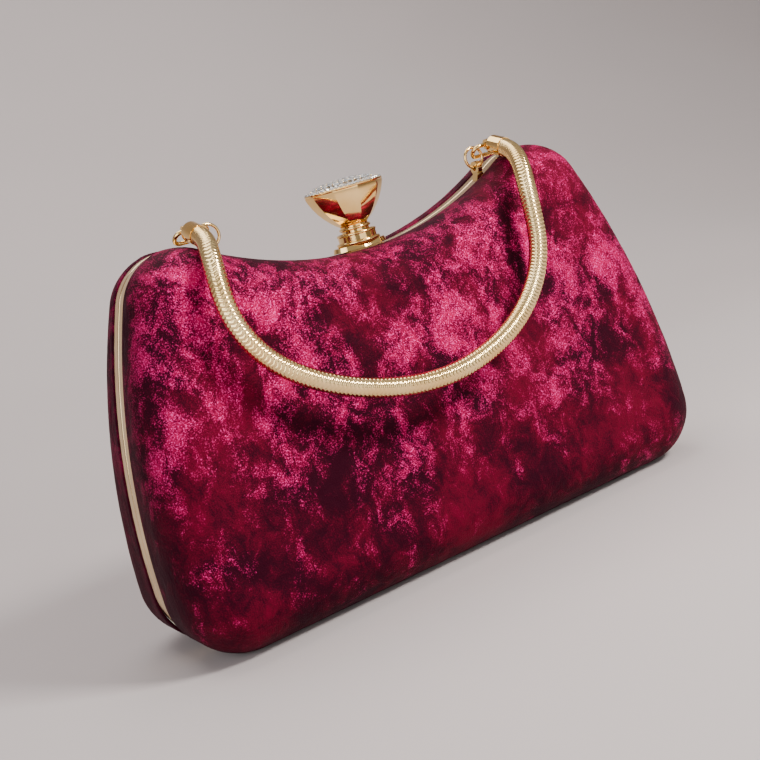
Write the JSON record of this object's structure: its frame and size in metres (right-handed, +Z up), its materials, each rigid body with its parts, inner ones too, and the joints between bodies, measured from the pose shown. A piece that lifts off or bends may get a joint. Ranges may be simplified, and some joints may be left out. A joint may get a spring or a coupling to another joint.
{
  "type": "clutch purse",
  "caption": "Hard-shell evening clutch: two padded velvet domes on hinged metal rims, a jewelled press clasp on top and a short snake-chain handle.",
  "frame": {"origin": "on the table under the seam, midway along the purse", "axes": "+X along the purse's length, +Z up, the front face with the hanging handle towards -Y"},
  "size_m": [0.2, 0.0775, 0.1264],
  "materials": {
    "velvet": "crushed velvet with a broken, glossy pile",
    "foam": "thin padding foam",
    "shell_board": "moulded hard shell",
    "satin": "satin lining",
    "stones": "clear cut stones",
    "chain_gold": "bright pale gold plate",
    "steel": "plated steel",
    "gold": "polished gold plate"
  },
  "bodies": {
    "front_half": {"front_cover": "velvet", "front_frame": "gold", "front_lining": "satin", "front_padding": "foam", "front_shell": "shell_board", "left_hinge_front_leaf": "steel", "right_hinge_front_leaf": "steel", "left_hinge_pin": "steel", "right_hinge_pin": "steel", "clasp_base": "gold", "clasp_collar": "gold", "left_ring_lug": "gold", "right_ring_lug": "gold"},
    "back_half": {"back_cover": "velvet", "back_frame": "gold", "back_lining": "satin", "back_padding": "foam", "back_shell": "shell_board", "left_hinge_back_leaf": "steel", "right_hinge_back_leaf": "steel", "slip_pocket": "satin", "clasp_catch": "steel"},
    "clasp_knob": {"clasp_stem": "gold", "clasp_rod": "steel", "clasp_hook": "steel", "clasp_cup": "gold", "clasp_bezel": "gold", "clasp_stones": "stones"},
    "hook_links": {"left_ring": "gold", "right_ring": "gold", "left_link": "gold", "right_link": "gold"},
    "handle": {"handle_chain": "chain_gold", "left_end_cap": "gold", "right_end_cap": "gold"}
  },
  "joints": [
    {"name": "open_hinge", "type": "hinge", "parent": "front_half", "child": "back_half", "pos_m": [0, 0, 0.002], "axis": [-1, 0, 0], "range_deg": [0, 75]},
    {"name": "clasp_press", "type": "slide", "parent": "front_half", "child": "clasp_knob", "axis": [0, 0, -1], "range_m": [0, 0.0011], "stiffness_N_per_m": 1200, "springref_m": -0.0012},
    {"name": "link_tilt", "type": "hinge", "parent": "front_half", "child": "hook_links", "pos_m": [0, -0.0023, 0.1173], "axis": [-1, 0, 0], "range_deg": [0, 5]},
    {"name": "handle_swing", "type": "hinge", "parent": "hook_links", "child": "handle", "pos_m": [0, -0.00419, 0.12401], "axis": [-1, 0, 0], "range_deg": [0, 150]}
  ]
}
